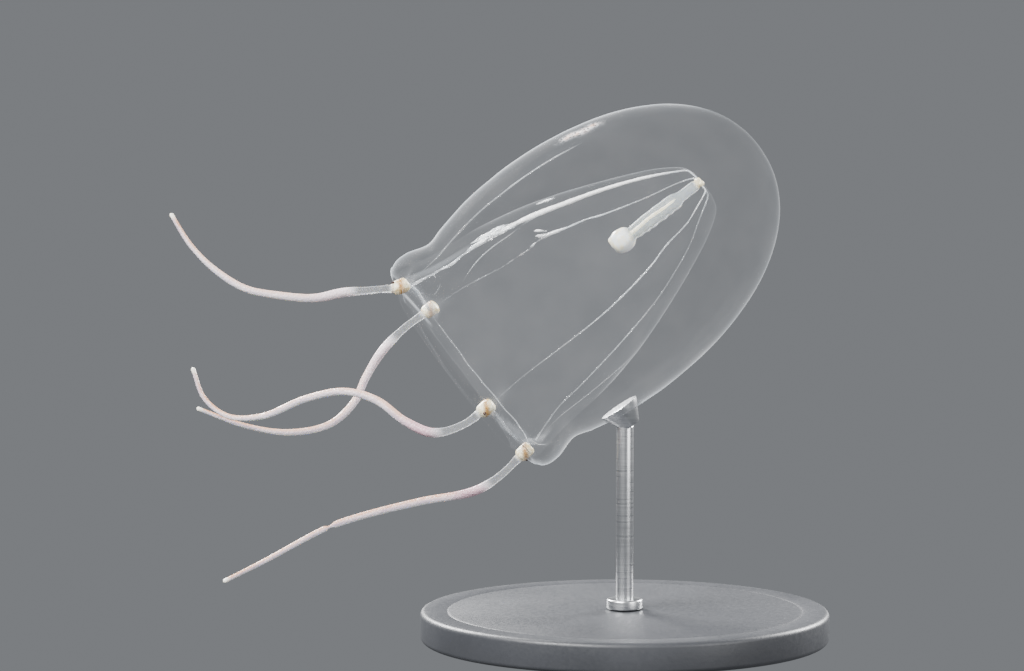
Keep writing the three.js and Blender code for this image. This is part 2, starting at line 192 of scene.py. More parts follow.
SCALLOP_RUN, MOUTH_RUN = (10.7, 13.7, 0.4), (9, 10.5, 0.2)
MOUTH_CENTRE, NIPPLE_WAY = Vector((0, 0, 9.97)), Vector((-0.6, 0, -0.8))
# The two lumps of the knob: place from the knob's middle, and radius.
KNOB_LUMPS = [((-0.1, 0.03, 0.0), 0.17), ((0.09, -0.05, 0.06), 0.15)]
# The gut's places, with x from the middle of the stalk.
GUT_ROUTE = [(-0.06, 0, 13.3), (-0.05, 0.03, 12.6), (-0.09, 0, 11.7), (-0.04, -0.02, 10.8), (0, 0, 10.1)]
# Each tentacle: how far its clear stalk runs from the bulb, how pale its swelling and its middle are,
# and how strongly its beads show on the underside of the clear part.
TENTACLE_LOOKS = [
    (2.2, (0.6, 0.35), 1.0), (2.5, (0.0, 0.25), 0.12), (2.4, (0.0, 0.1), 0.12), (2.3, (0.5, 0.2), 0.12),
]
BULB_HALF_LENGTH = 0.42
THINNEST = 0.01
# The pinched place of the third tentacle.
NIPPED_TENTACLE, NIP_PLACE, NIP_RADIUS = 2, (2.3, 2.4, -10.1), 0.06
# An eyespot's half sizes out, across and up, as shares of its radius.
OCELLUS_SHAPE = (0.7, 0.42, 0.5)
# The fine ring sunk into the base, and the foot of the rod.
RING_INSET, RING_WIDTH, RING_DEPTH = 1.2, 0.24, 0.06
FOOT_RADIUS, FOOT_HEIGHT = ROD_RADIUS * 2.1, 0.5

# ---------------------------------------------------------------- stage

# Radius of the sweep from the floor to the wall and the height of the wall, in mm.
SWEEP, WALL_TOP = 220, 700
# Each lamp: name, place and width in metres, power in watts.
LAMPS = [
    ("Key", (-0.125, -0.11, 0.16), 0.1, 0.56),
    ("Fill", (0.15, -0.12, 0.065), 0.12, 0.12),
    ("Back left", (-0.095, 0.125, 0.105), 0.065, 0.5),
    ("Back right", (0.125, 0.11, 0.08), 0.065, 0.38),
    ("Glint", (-0.07, -0.2, 0.12), 0.012, 0.12),
]
# Where the lamps and the camera point, in mm.
LAMP_AIM, VIEW_MIDDLE = (-4, 0, 15), (-5.51, 0.14, 14.95)
LAMP_SPREAD = 120
ROOM_COLOUR, ROOM_STRENGTH = (0.9, 0.94, 1), 0.22
SENSOR_WIDTH, CLIP_NEAR, CLIP_FAR = 36, 0.005, 5

# ---------------------------------------------------------------- shapes


ROUTE_STEPS = 40


def smooth_route(points, spacing):
    """Points spaced evenly on a centripetal curve through the given points, and their distances along it."""
    points = [Vector(point).to_3d() for point in points]
    ends = [points[0] * 2 - points[1]] + points + [points[-1] * 2 - points[-2]]
    dense = []
    for start in range(len(points) - 1):
        p0, p1, p2, p3 = ends[start : start + 4]
        t0, t1, t2 = (max((b - a).length, 1e-4) ** 0.5 for a, b in ((p0, p1), (p1, p2), (p2, p3)))
        m1 = ((p1 - p0) / t0 - (p2 - p0) / (t0 + t1) + (p2 - p1) / t1) * t1
        m2 = ((p2 - p1) / t1 - (p3 - p1) / (t1 + t2) + (p3 - p2) / t2) * t1
        for step in range(ROUTE_STEPS):
            t = step / ROUTE_STEPS
            dense.append(
                p1 * (2 * t**3 - 3 * t**2 + 1) + m1 * (t**3 - 2 * t**2 + t)
                + p2 * (3 * t**2 - 2 * t**3) + m2 * (t**3 - t**2)
            )
    dense.append(points[-1])
    distances = [0.0]
    for a, b in zip(dense, dense[1:]):
        distances.append(distances[-1] + (b - a).length)
    count = max(2, round(distances[-1] / spacing) + 1)
    even, along, place = [], [], 0
    for step in range(count):
        target = distances[-1] * step / (count - 1)
        while place < len(dense) - 2 and distances[place + 1] < target:
            place += 1
        share = (target - distances[place]) / max(distances[place + 1] - distances[place], 1e-9)
        even.append(dense[place].lerp(dense[place + 1], min(share, 1)))
        along.append(target)
    return even, along


def smooth_outline(pairs, spacing):
    return [(point.x, point.y) for point in smooth_route(pairs, spacing)[0]]


def read_off(pairs, at):
    """The value at one place of a list of (place, value) pairs in order, eased between them."""
    pairs = sorted(pairs)
    if at <= pairs[0][0]:
        return pairs[0][1]
    for (a, low), (b, high) in zip(pairs, pairs[1:]):
        if at <= b:
            t = (at - a) / (b - a)
            return low + (high - low) * t * t * (3 - 2 * t)
    return pairs[-1][1]


def window(at, start, end, ease):
    """1 between start and end, easing to 0 outside them."""
    return max(0, min(1, (at - start) / ease + 0.5)) * max(0, min(1, (end - at) / ease + 0.5))


def hump(distance, width):
    return math.exp(-((distance / width) ** 2))


def turn_between(azimuth, other):
    """The angle in degrees from one azimuth to another, between -180 and 180."""
    return (azimuth - other + 180) % 360 - 180


def on_ray(azimuth, radius, height):
    angle = math.radians(azimuth)
    return Vector((radius * math.cos(angle), radius * math.sin(angle), height))


CAVITY_OUTLINE = smooth_outline(CAVITY + CEILING, 0.14)


def dome_outline():
    pairs = []
    for degrees in range(88, 0, -2):
        angle = math.radians(degrees)
        radius = BELL_RADIUS * math.cos(angle) ** (2 / DOME_POWER)
        pairs.append((radius, WIDEST_AT + (BELL_HEIGHT - WIDEST_AT) * math.sin(angle) ** (2 / DOME_POWER)))
    return pairs


OUTSIDE_OUTLINE = [(0, BELL_HEIGHT)] + dome_outline() + smooth_outline(SKIRT, 0.13)
# The bell's outside without its lip, closed below, which cuts the cradle.
LIP_POINTS = 6
FORMER_OUTLINE = OUTSIDE_OUTLINE[:-LIP_POINTS] + [(0, 0.6)]


def wall_radius(outline, height):
    """The radius of the bell's wall, outside or inside, at a height."""
    return read_off([(h, r) for r, h in outline], height)


def azimuth_of(place):
    return math.degrees(math.atan2(place.y, place.x))


def radius_of(place):
    return math.hypot(place.x, place.y)


def arc_from(place, azimuth):
    """The distance round the bell from an azimuth to a place, in mm."""
    return math.radians(turn_between(azimuth_of(place), azimuth)) * radius_of(place)


def arc_window(azimuth, middle, start, end, ease):
    """1 between two turns from a middle azimuth, easing to 0 outside them."""
    return window(turn_between(azimuth, middle), start, end, ease)


def is_velum(place):
    return place.z < VELUM_TOP and radius_of(place) < VELUM_RADIUS


def is_inside(place):
    """Whether a place on the bell's skin is on the wall of the cavity."""
    if place.z >= CEILING_TOP or is_velum(place):
        return False
    if place.z <= CAVITY_FOOT:
        return radius_of(place) < CAVITY_FOOT_RADIUS
    return radius_of(place) < wall_radius(CAVITY_OUTLINE, place.z) + 0.03


def is_outside(place):
    return not is_inside(place) and not is_velum(place)


BELL_TURN = (
    Matrix.Rotation(math.radians(PITCH), 4, "X")
    @ Matrix.Rotation(math.radians(LEAN), 4, "Y")
    @ Matrix.Rotation(math.radians(TURN), 4, "X")
)
# The bell's frame is set so that the knob's middle falls on that of the knob's solid.
KNOB_LOW, KNOB_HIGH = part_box("apical_knob")
KNOB_FROM_ORIGIN = BELL_TURN @ Vector((MANUBRIUM_SHIFT, 0, KNOB_HEIGHT)) * MM
BELL_PLACE = Matrix.Translation((KNOB_LOW + KNOB_HIGH) / 2 - KNOB_FROM_ORIGIN) @ BELL_TURN


# ---------------------------------------------------------------- making meshes by hand


def deselect():
    if bpy.context.mode != "OBJECT":
        bpy.ops.object.mode_set(mode="OBJECT")
    bpy.ops.object.select_all(action="DESELECT")


def select_only(*pieces):
    deselect()
    for piece in pieces:
        piece.select_set(True)
    bpy.context.view_layer.objects.active = pieces[0]


def name_piece(name):
    """Names the object that was just made, and its data."""
    piece = bpy.context.object
    piece.name = piece.data.name = name
    return piece


def place_in_mesh():
    """Leaves the place, turn and size of the selected piece in its mesh."""
    bpy.ops.object.transform_apply(location=True, rotation=True, scale=True)


def clean_skin(merge_below):
    """Merges the doubles of a new skin in edit mode, turns its faces out and shades it smooth."""
    bpy.ops.mesh.select_all(action="SELECT")
    bpy.ops.mesh.remove_doubles(threshold=merge_below)
    bpy.ops.mesh.normals_make_consistent(inside=False)
    bpy.ops.object.mode_set(mode="OBJECT")
    bpy.ops.object.shade_smooth()


def turn_outline(name, outline, steps):
    """Traces an outline of (radius, height) pairs from a single point and spins it round the z axis."""
    deselect()
    bpy.ops.mesh.primitive_plane_add(size=MM)
    piece = name_piece(name)
    bpy.ops.object.mode_set(mode="EDIT")
    bpy.ops.mesh.select_all(action="SELECT")
    bpy.ops.mesh.merge(type="CENTER")
    bpy.ops.transform.translate(value=(outline[0][0] * MM, 0, outline[0][1] * MM))
    for here, there in zip(outline, outline[1:]):
        step = ((there[0] - here[0]) * MM, 0, (there[1] - here[1]) * MM)
        bpy.ops.mesh.extrude_region_move(TRANSFORM_OT_translate={"value": step})
    bpy.ops.mesh.select_all(action="SELECT")
    bpy.ops.mesh.spin(steps=steps, angle=2 * math.pi, center=(0, 0, 0), axis=(0, 0, 1))
    clean_skin(merge_below=1e-6)
    return piece


def lay_tube(name, points, radii, half_rings, cyclic=False):
    """Lays a round tube along a route in mm and makes it a mesh."""
    deselect()
    bpy.ops.curve.primitive_nurbs_path_add()
    piece = name_piece(name)
    curve = piece.data
    curve.splines.clear()
    spline = curve.splines.new("POLY")
    spline.points.add(len(points) - 1)
    for knot, point, radius in zip(spline.points, points, radii):
        knot.co = (*(Vector(point) * MM), 1)
        knot.radius = radius
    spline.use_cyclic_u = cyclic
    curve.dimensions = "3D"
    curve.twist_mode = "MINIMUM"
    curve.bevel_depth = MM
    curve.bevel_resolution = half_rings
    curve.use_fill_caps = not cyclic
    bpy.ops.object.convert(target="MESH")
    bpy.ops.object.mode_set(mode="EDIT")
    clean_skin(merge_below=1e-7)
    return piece


def nearest_of(points):
    """A finder that gives the number of the nearest of some points, all in mm."""
    tree = KDTree(len(points))
    for index, point in enumerate(points):
        tree.insert(Vector(point) * MM, index)
    tree.balance()
    return lambda place: tree.find(place * MM)[1]


def paint(piece, name, value_of):
    """Gives every point of a mesh a number, from its place in mm, its index and its normal."""
    attribute = piece.data.attributes.new(name, "FLOAT", "POINT")
    for index, vertex in enumerate(piece.data.vertices):
        attribute.data[index].value = value_of(vertex.co / MM, index, vertex.normal)


def push(piece, distance, weight_of=None, direction="NORMAL", lumps=0):
    """Pushes a mesh, or what weight_of says of it, by mm, evenly or in soft lumps of a size in mm."""
    modifier = piece.modifiers.new("Push", "DISPLACE")
    modifier.direction = direction
    modifier.strength = distance * MM
    modifier.mid_level = 0
    if weight_of:
        group = piece.vertex_groups.new(name="pushed part")
        for vertex in piece.data.vertices:
            weight = weight_of(vertex.co / MM)
            if weight > 0.001:
                group.add([vertex.index], min(weight, 1), "REPLACE")
        modifier.vertex_group = group.name
    if lumps:
        texture = bpy.data.textures.new(f"{piece.name} lumps", "CLOUDS")
        texture.noise_scale = lumps * MM
        modifier.texture = texture
        modifier.mid_level = 0.5
    select_only(piece)
    bpy.ops.object.modifier_apply(modifier=modifier.name)


SMOOTH_UNDER = 35


def round_edges(piece, width, segments, over):
    """Rounds edges that turn over an angle in degrees to a width in metres, and shades the rest smooth."""
    select_only(piece)
    bevel = piece.modifiers.new("Edge", "BEVEL")
    bevel.width = width
    bevel.segments = segments
    bevel.limit_method = "ANGLE"
    bevel.angle_limit = math.radians(over)
    bpy.ops.object.modifier_apply(modifier=bevel.name)
    bpy.ops.object.shade_smooth_by_angle(angle=math.radians(SMOOTH_UNDER))


def turned_disc(name, radius, low, high, sides):
    """A round bar or disc on the z axis, with its radius in mm, between two heights in metres."""
    deselect()
    bpy.ops.mesh.primitive_cylinder_add(
        vertices=sides, radius=radius * MM, depth=high - low, location=(0, 0, (low + high) / 2),
    )
    place_in_mesh()
    return name_piece(name)


def facing(direction):
    """The turn of a lamp or camera that looks in a direction."""
    return direction.to_track_quat("-Z", "Y").to_euler()


def settle(piece):
    """Turns a piece from the bell's upright frame into the pose and leaves its place in its mesh."""
    select_only(piece)
    piece.matrix_world = BELL_PLACE
    place_in_mesh()


def join(name, pieces):
    select_only(*pieces)
    bpy.ops.object.join()
    return name_piece(name)


def numbered(stem, count=4):
    return [f"{stem}_{number}" for number in range(1, count + 1)]


def finish_piece(piece, material, slot, *nodes):
    piece.data.materials.clear()
    piece.data.materials.append(material)
    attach(piece, "root")
    if nodes:
        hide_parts(*nodes)


# ---------------------------------------------------------------- materials

# The sockets of a Mix node that mixes colours: its factor and two colours, and the colour that it gives.
MIX_INPUTS, MIX_RESULT = (0, 6, 7), 2


class Wiring:
    """Short words for the nodes of one material or group."""

    def __init__(self, tree, material=None):
        self.tree = tree
        self.material = material

    def add(self, kind, **settings):
        node = self.tree.nodes.new(kind)
        for name, value in settings.items():
            setattr(node, name, value)
        return node

    def put(self, socket, value):
        if isinstance(value, bpy.types.NodeSocket):
            self.tree.links.new(value, socket)
        else:
            socket.default_value = (*value, 1) if socket.type == "RGBA" else value

    def feed(self, node, **values):
        """Links a node's sockets to other nodes or gives them plain values, with _ for a space."""
        for name, value in values.items():
            self.put(node.inputs[name.replace("_", " ")], value)

    def shade(self, **values):
        """Feeds the material's shader and gives the material."""
        self.feed(self.tree.nodes["Principled BSDF"], **values)
        return self.material

    def calculate(self, operation, first, *others, clamp=False):
        """Works from the first value through the others, and clamps only the result."""
        for number, other in enumerate(others, 1):
            node = self.add("ShaderNodeMath", operation=operation, use_clamp=clamp and number == len(others))
            self.put(node.inputs[0], first)
            self.put(node.inputs[1], other)
            first = node.outputs[0]
        return first

    def times(self, *values, clamp=False):
        return self.calculate("MULTIPLY", *values, clamp=clamp)

    def plus(self, *values, clamp=False):
        return self.calculate("ADD", *values, clamp=clamp)

    def painted(self, name):
        return self.add("ShaderNodeAttribute", attribute_name=name).outputs["Fac"]

    def object_place(self):
        return self.add("ShaderNodeTexCoord").outputs["Object"]

    def stretched_place(self, kind, turn, scale):
        """The place on the object, turned by degrees round y and scaled."""
        node = self.add("ShaderNodeMapping", vector_type=kind)
        self.feed(node, Vector=self.object_place(), Rotation=(0, math.radians(turn), 0), Scale=scale)
        return node.outputs["Vector"]

    def noise(self, size, detail=2.0, roughness=0.5, place=None):
        """Soft noise with blotches of a size in mm."""
        node = self.add("ShaderNodeTexNoise")
        place = place or self.object_place()
        self.feed(node, Vector=place, Scale=1 / (size * MM), Detail=detail, Roughness=roughness)
        return node.outputs["Fac"]

    def spread(self, value, low, high, to_low=0.0, to_high=1.0):
        """Spreads the span from low to high over another one."""
        node = self.add("ShaderNodeMapRange", clamp=True)
        self.feed(node, Value=value, From_Min=low, From_Max=high, To_Min=to_low, To_Max=to_high)
        return node.outputs["Result"]

    def mix(self, amount, a, b):
        node = self.add("ShaderNodeMix", data_type="RGBA")
        for number, value in zip(MIX_INPUTS, (amount, a, b)):
            self.put(node.inputs[number], value)
        return node.outputs[MIX_RESULT]

    def mottle(self, size, detail, low, high, a, b):
        """Two colours in soft blotches of a size in mm."""
        return self.mix(self.spread(self.noise(size, detail), low, high), a, b)

    def bump(self, height, distance, strength):
        """A normal from a height of a distance in mm."""
        node = self.add("ShaderNodeBump")
        self.feed(node, Height=height, Distance=distance * MM, Strength=strength)
        return node.outputs["Normal"]

    def edge_on(self, power, strength):
        """More where a clear wall is seen edge on."""
        facing = self.add("ShaderNodeLayerWeight")
        self.feed(facing, Blend=0.5)
        return self.times(self.calculate("POWER", facing.outputs["Facing"], power), strength)

    def granules(self, size, cover):
        """The light mask and the height of a fine wet grain, of a size in mm."""
        node = self.add("ShaderNodeGroup", node_tree=granule_group())
        self.feed(node, Size=size, Cover=cover)
        return node.outputs["Light"], node.outputs["Height"]


def granule_group():
    """Fine wet grain shared by the soft parts: a light mask and a height."""
    group = bpy.data.node_groups.get("Wet granules")
    if group:
        return group
    group = bpy.data.node_groups.new("Wet granules", "ShaderNodeTree")
    for name, way in (("Size", "INPUT"), ("Cover", "INPUT"), ("Light", "OUTPUT"), ("Height", "OUTPUT")):
        group.interface.new_socket(name, in_out=way, socket_type="NodeSocketFloat")
    wires = Wiring(group)
    given = wires.add("NodeGroupInput").outputs
    scale = wires.calculate("DIVIDE", 1 / MM, given["Size"])
    cells = wires.add("ShaderNodeTexVoronoi", feature="SMOOTH_F1")
    wires.feed(cells, Vector=wires.object_place(), Scale=scale, Smoothness=0.4)
    grains = wires.spread(cells.outputs["Distance"], 0.15, 0.6, 1.0, 0.0)
    blotches = wires.add("ShaderNodeTexNoise")
    wires.feed(blotches, Vector=wires.object_place(), Scale=wires.times(scale, 0.35))
    bare = wires.calculate("SUBTRACT", 1.0, given["Cover"])
    shown = wires.spread(blotches.outputs["Fac"], bare, wires.plus(bare, 0.2))
    wires.feed(wires.add("NodeGroupOutput"), Light=wires.times(grains, shown), Height=grains)
    return group


def new_material(name, **values):
    """The wiring of a material whose plain values stand on the shader's own sockets."""
    material = bpy.data.materials.new(name)
    material.use_nodes = True
    wires = Wiring(material.node_tree, material)
    wires.shade(**values)
    return wires


def new_flesh(name, scatter, **values):
    """As new_material, for soft flesh in which light scatters over a distance in mm."""
    return new_material(
        name, IOR=1.38, Subsurface_Scale=scatter * MM, Subsurface_Radius=(1.0, 0.9, 0.7), **values,
    )


def jelly_material(settings):
    """Glass-clear jelly: nearly nothing face on, a bright thin line edge on with painted shine, milk where it
    is painted, and a painted highlight.
    """
    wires = new_material("Clear jelly", Roughness=0.2, IOR=1.36, Specular_IOR_Level=0.03)
    painted_glint = wires.painted("painted_glint")
    cloud = wires.noise(1.6, 3)
    fibres = wires.noise(0.12, 2)
    tint = wires.mix(wires.spread(cloud, 0.35, 0.65), settings.jelly_colour, (0.93, 0.95, 0.98))
    # Painted highlight colour: orange-pink mottled with near white.
    painted_glint_colour = wires.mottle(0.35, 2, 0.4, 0.6, (0.98, 0.62, 0.45), (1.0, 0.95, 0.92))
    haze = wires.times(wires.spread(cloud, 0.3, 0.7, 0.6, 1.4), settings.haze)
    line = wires.plus(wires.edge_on(13.0, settings.rim), wires.edge_on(3.0, settings.glow))
    on_wall = wires.spread(wires.painted("inner"), 0, 1, 1.0, settings.inner_rim)
    # Painted shine: the painted edge share makes the rim stronger on the upper flank than on the lower one.
    line = wires.times(line, on_wall, wires.painted("edge"))
    milk = wires.times(wires.painted("milk"), wires.spread(fibres, 0.3, 0.7, 0.85, 1.1))
    # Painted highlight: the painted streak, strongest where the wall is seen edge on.
    streak = wires.times(painted_glint, wires.spread(fibres, 0.38, 0.52), wires.edge_on(1.0, 1.15))
    return wires.shade(
        # Where the highlight is painted, the colour turns orange-pink.
        Base_Color=wires.mix(painted_glint, tint, painted_glint_colour),
        Alpha=wires.plus(haze, line, milk, streak, clamp=True),
        Normal=wires.bump(wires.noise(0.5, 3), 0.006, 0.15),
    )


def canal_material(settings):
    """Wet white strands with glassy patches."""
    wires = new_material("Canal strand", Roughness=0.12, IOR=1.45)
    light, height = wires.granules(0.09, 0.6)
    body = wires.painted("body")
    colour = wires.mix(light, settings.canal_colour, (1.0, 1.0, 1.0))
    colour = wires.mix(wires.spread(wires.noise(0.8, 1), 0.5, 0.75, 0, 0.35), colour, (0.98, 0.84, 0.8))
    colour = wires.mix(wires.spread(body, 0.8, 1.6), colour, (1.0, 1.0, 0.99))
    down_wall = wires.stretched_place("TEXTURE", LEAN + 9, (1, 1, 6))
    strands = wires.spread(wires.noise(0.09, 2, 0.5, down_wall), 0.42, 0.55, 0.12, 1.1)
    torn = wires.spread(wires.painted("frayed"), 0, 1, 1.0, strands)
    flat = wires.times(body, wires.spread(light, 0, 1, 0.7, 1.5))
    solid = wires.plus(flat, wires.edge_on(3.0, wires.times(body, 0.3)))
    return wires.shade(
        Base_Color=colour,
        Alpha=wires.times(solid, torn, clamp=True),
        Normal=wires.bump(height, 0.02, 0.7),
    )


def manubrium_material(settings):
    """Milky flesh, thicker towards the mouth, with a bright scalloped edge: the lower side is painted white
    as a highlight.
    """
    wires = new_flesh("Milky stalk", 0.3, Roughness=0.25, Subsurface_Weight=0.15)
    mouth, lower = wires.painted("mouth"), wires.painted("lower side")
    light, height = wires.granules(0.2, 0.45)
    milky = wires.mix(light, settings.milk_colour, (1.0, 1.0, 0.97))
    blotch = wires.times(wires.spread(wires.noise(0.28, 2), 0.42, 0.62), mouth, 0.6)
    colour = wires.mix(wires.times(mouth, 0.5), milky, (1.0, 1.0, 0.98))
    colour = wires.mix(blotch, colour, settings.gut_colour)
    # Painted highlight: pure white along the lower side, where the surface faces +x.
    colour = wires.mix(wires.spread(lower, 0.78, 0.93), colour, (1.0, 1.0, 1.0))
    clear = wires.spread(mouth, 0, 1, 0.2, 0.98)
    # More solid along the lower side: partly the scalloped fold, partly painted highlight.
    scallops = wires.spread(lower, 0.74, 0.92, 0.0, 0.75)
    return wires.shade(
        Base_Color=wires.mix(wires.painted("knob"), colour, (0.87, 0.76, 0.5)),
        Alpha=wires.plus(clear, scallops, wires.edge_on(3.0, 0.3), wires.times(light, 0.05), clamp=True),
        Normal=wires.bump(height, 0.012, 0.25),
    )


def gut_material(settings):
    """The straw-coloured line inside the stalk."""
    wires = new_material("Straw gut", Roughness=0.4)
    return wires.shade(Base_Color=wires.mottle(0.2, 2, 0.35, 0.65, settings.gut_colour, (1.0, 0.95, 0.74)))


def tentacle_material(settings):
    """Cream bulb, clear stalk, dusty pink swelling, then cream and lilac beads to a white tip, with painted
    shading: peach above, a pale painted highlight below.
    """
    wires = new_flesh("Tentacle flesh", 0.25, Roughness=0.3, Subsurface_Weight=0.1)
    bulb, stalk, upper = wires.painted("bulb"), wires.painted("stalk"), wires.painted("upper")
    light, height = wires.granules(0.13, 0.62)
    fine = wires.noise(0.07, 2)

    flank = wires.mottle(0.9, 2, 0.35, 0.65, settings.lilac, (0.64, 0.53, 0.57))
    # Painted shading by side: peach on the side that looks up, near white as a painted highlight on the side
    # that looks down.
    flank = wires.mix(wires.spread(upper, -0.05, 0.65), flank, settings.peach)
    flank = wires.mix(wires.spread(upper, -0.2, -0.75), flank, (0.95, 0.97, 1.0))
    beads = wires.mix(wires.times(light, 0.5), flank, (0.9, 0.85, 0.82))
    dusty = wires.mix(wires.spread(fine, 0.35, 0.65), settings.dusty_pink, (0.66, 0.45, 0.5))
    flesh = wires.mix(wires.painted("pink"), beads, dusty)
    flesh = wires.mix(wires.painted("pale"), flesh, (1.0, 0.96, 0.98))
    flesh = wires.mix(stalk, flesh, (0.9, 0.92, 0.94))
    cream = wires.mottle(0.25, 3, 0.35, 0.6, settings.cream, (0.96, 0.92, 0.72))
    gold = wires.times(wires.painted("crease"), wires.spread(fine, 0.25, 0.6, 0.75, 1.0))
    colour = wires.mix(bulb, flesh, wires.mix(gold, cream, settings.tan))

    underside = wires.times(
        wires.spread(upper, -0.55, -0.8), wires.spread(height, 0.2, 0.6, 0.35, 1.0), wires.painted("beaded"),
    )
    clear = wires.plus(wires.edge_on(3.0, 0.5), wires.times(light, 0.03), 0.07, underside, clamp=True)
    is_clear = wires.times(stalk, wires.calculate("SUBTRACT", 1.0, bulb))
    return wires.shade(
        Base_Color=wires.mix(wires.painted("tip"), colour, (0.97, 0.93, 0.82)),
        Alpha=wires.spread(is_clear, 0, 1, 1.0, clear),
        Normal=wires.bump(wires.plus(height, wires.times(fine, 0.4)), 0.02, 0.6),
    )


def ocellus_material(settings):
    """Dark brown pigment with a wet shine."""
    wires = new_material("Eyespot pigment", Roughness=0.16, IOR=1.45, Coat_Weight=0.5)
    return wires.shade(Base_Color=wires.mottle(0.08, 2, 0.4, 0.6, settings.pigment, (0.09, 0.035, 0.02)))


def base_material(settings):
    """Satin plastic with a fine moulded grain."""
    wires = new_material("Satin base")
    grain = wires.noise(0.18, 4, 0.6)
    return wires.shade(
        Base_Color=wires.mottle(6, 3, 0.35, 0.65, settings.base_colour, (0.05, 0.052, 0.058)),
        Roughness=wires.spread(grain, 0.3, 0.7, 0.36, 0.52),
        Normal=wires.bump(grain, 0.012, 0.5),
    )


def steel_material(settings):
    """Steel with fine lines round the rod."""
    wires = new_material("Brushed steel", Metallic=1.0)
    round_rod = wires.stretched_place("POINT", 0, (0.03, 0.03, 1.0))
    lines = wires.noise(0.1, 3, 0.5, round_rod)
    return wires.shade(
        Base_Color=wires.mix(wires.spread(lines, 0.3, 0.7), settings.steel_colour, (0.74, 0.75, 0.76)),
        Roughness=wires.spread(lines, 0.3, 0.7, 0.26, 0.34),
        Normal=wires.bump(lines, 0.003, 0.2),
    )


def backdrop_material(settings):
    """Plain pale paper."""
    wires = new_material("Pale paper", Roughness=0.9, Specular_IOR_Level=0.1)
    return wires.shade(Base_Color=settings.floor_colour)


# ---------------------------------------------------------------- sizes and colours a user may change


def size_prop(name, description, default):
    """A length, with its default in mm."""
    return FloatProperty(name=name, description=description, default=default * MM, unit="LENGTH")


def share_prop(name, description, default, most=1):
    return FloatProperty(
        name=name, description=description, default=default, min=0, max=most, subtype="FACTOR",
    )


def colour_prop(name, description, *default):
    return FloatVectorProperty(name=name, description=description, default=default, subtype="COLOR")


class BellSettings(bpy.types.PropertyGroup):
    steps: IntProperty(name="Steps round", description="Faces round the bell", default=224, min=48, max=320)
    furrow_depth: size_prop("Furrow depth", "Depth of the four shallow furrows down the bell", 0.02)
    unevenness: size_prop("Unevenness", "Height of the soft waves in the jelly", 0.05)
    jelly_colour: colour_prop("Jelly colour", "Tint of the jelly's faint milk", 0.8, 0.87, 0.93)
    haze: share_prop("Haze", "How much a wall hides face on", 0.008)
    rim: share_prop("Rim", "How strongly a wall shows edge on", 0.95, 2)
    glow: share_prop("Glow", "Soft haze just inside the rim", 0.035)
    inner_rim: share_prop("Inner rim", "The rim's share on the inner wall", 0.35)


class CanalSettings(bpy.types.PropertyGroup):
    ring_radius: size_prop("Ring canal thickness", "Half thickness of the canal round the margin", 0.06)
    canal_colour: colour_prop("Canal colour", "Colour of the strands", 0.84, 0.9, 0.94)


class ManubriumSettings(bpy.types.PropertyGroup):
    gut_radius: size_prop("Gut thickness", "Half thickness of the line inside the stalk", 0.08)
    milk_colour: colour_prop("Milk colour", "Colour of the stalk", 0.74, 0.82, 0.84)
    gut_colour: colour_prop("Gut colour", "Colour of the line inside", 0.92, 0.78, 0.42)


class TentacleSettings(bpy.types.PropertyGroup):
    stalk_radius: size_prop("Stalk thickness", "Half thickness of the clear part", 0.175)
    swelling_radius: size_prop("Swelling thickness", "Half thickness of the pink part", 0.228)
    tip_radius: size_prop("Tip thickness", "Half thickness near the tip", 0.1)
    cream: colour_prop("Cream", "Bulb colour", 0.76, 0.6, 0.3)
    tan: colour_prop("Tan", "Crease of the bulb", 0.38, 0.185, 0.04)
    dusty_pink: colour_prop("Dusty pink", "Colour of the swelling", 0.5, 0.27, 0.34)
    # Peach is painted shading for the side of a tentacle that looks up.
    peach: colour_prop("Peach", "Upper side of a tentacle", 0.62, 0.3, 0.14)
    lilac: colour_prop("Lilac", "Flank of a tentacle", 0.44, 0.34, 0.44)
    pigment: colour_prop("Pigment", "Colour of the eyespots", 0.02, 0.012, 0.01)


class StandSettings(bpy.types.PropertyGroup):
    edge: size_prop("Edge", "Width of the rounded edge of the base", BASE_EDGE)
    base_colour: colour_prop("Base colour", "Colour of the base", 0.035, 0.037, 0.042)
    steel_colour: colour_prop("Steel colour", "Colour of the rod and the cradle", 0.6, 0.61, 0.62)


class StageSettings(bpy.types.PropertyGroup):
    floor_radius: size_prop("Floor radius", "Flat part of the floor", 420)
    floor_colour: colour_prop("Floor colour", "Colour of the floor", 0.52, 0.535, 0.55)
    lens: FloatProperty(name="Lens", description="Focal length", default=135, min=1, unit="CAMERA")
    distance: size_prop("Camera distance", "From the camera to the middle of the view", 187)
    elevation: FloatProperty(
        name="Elevation", description="Angle of the camera above level",
        default=math.radians(5), subtype="ANGLE",
    )


# ---------------------------------------------------------------- pieces


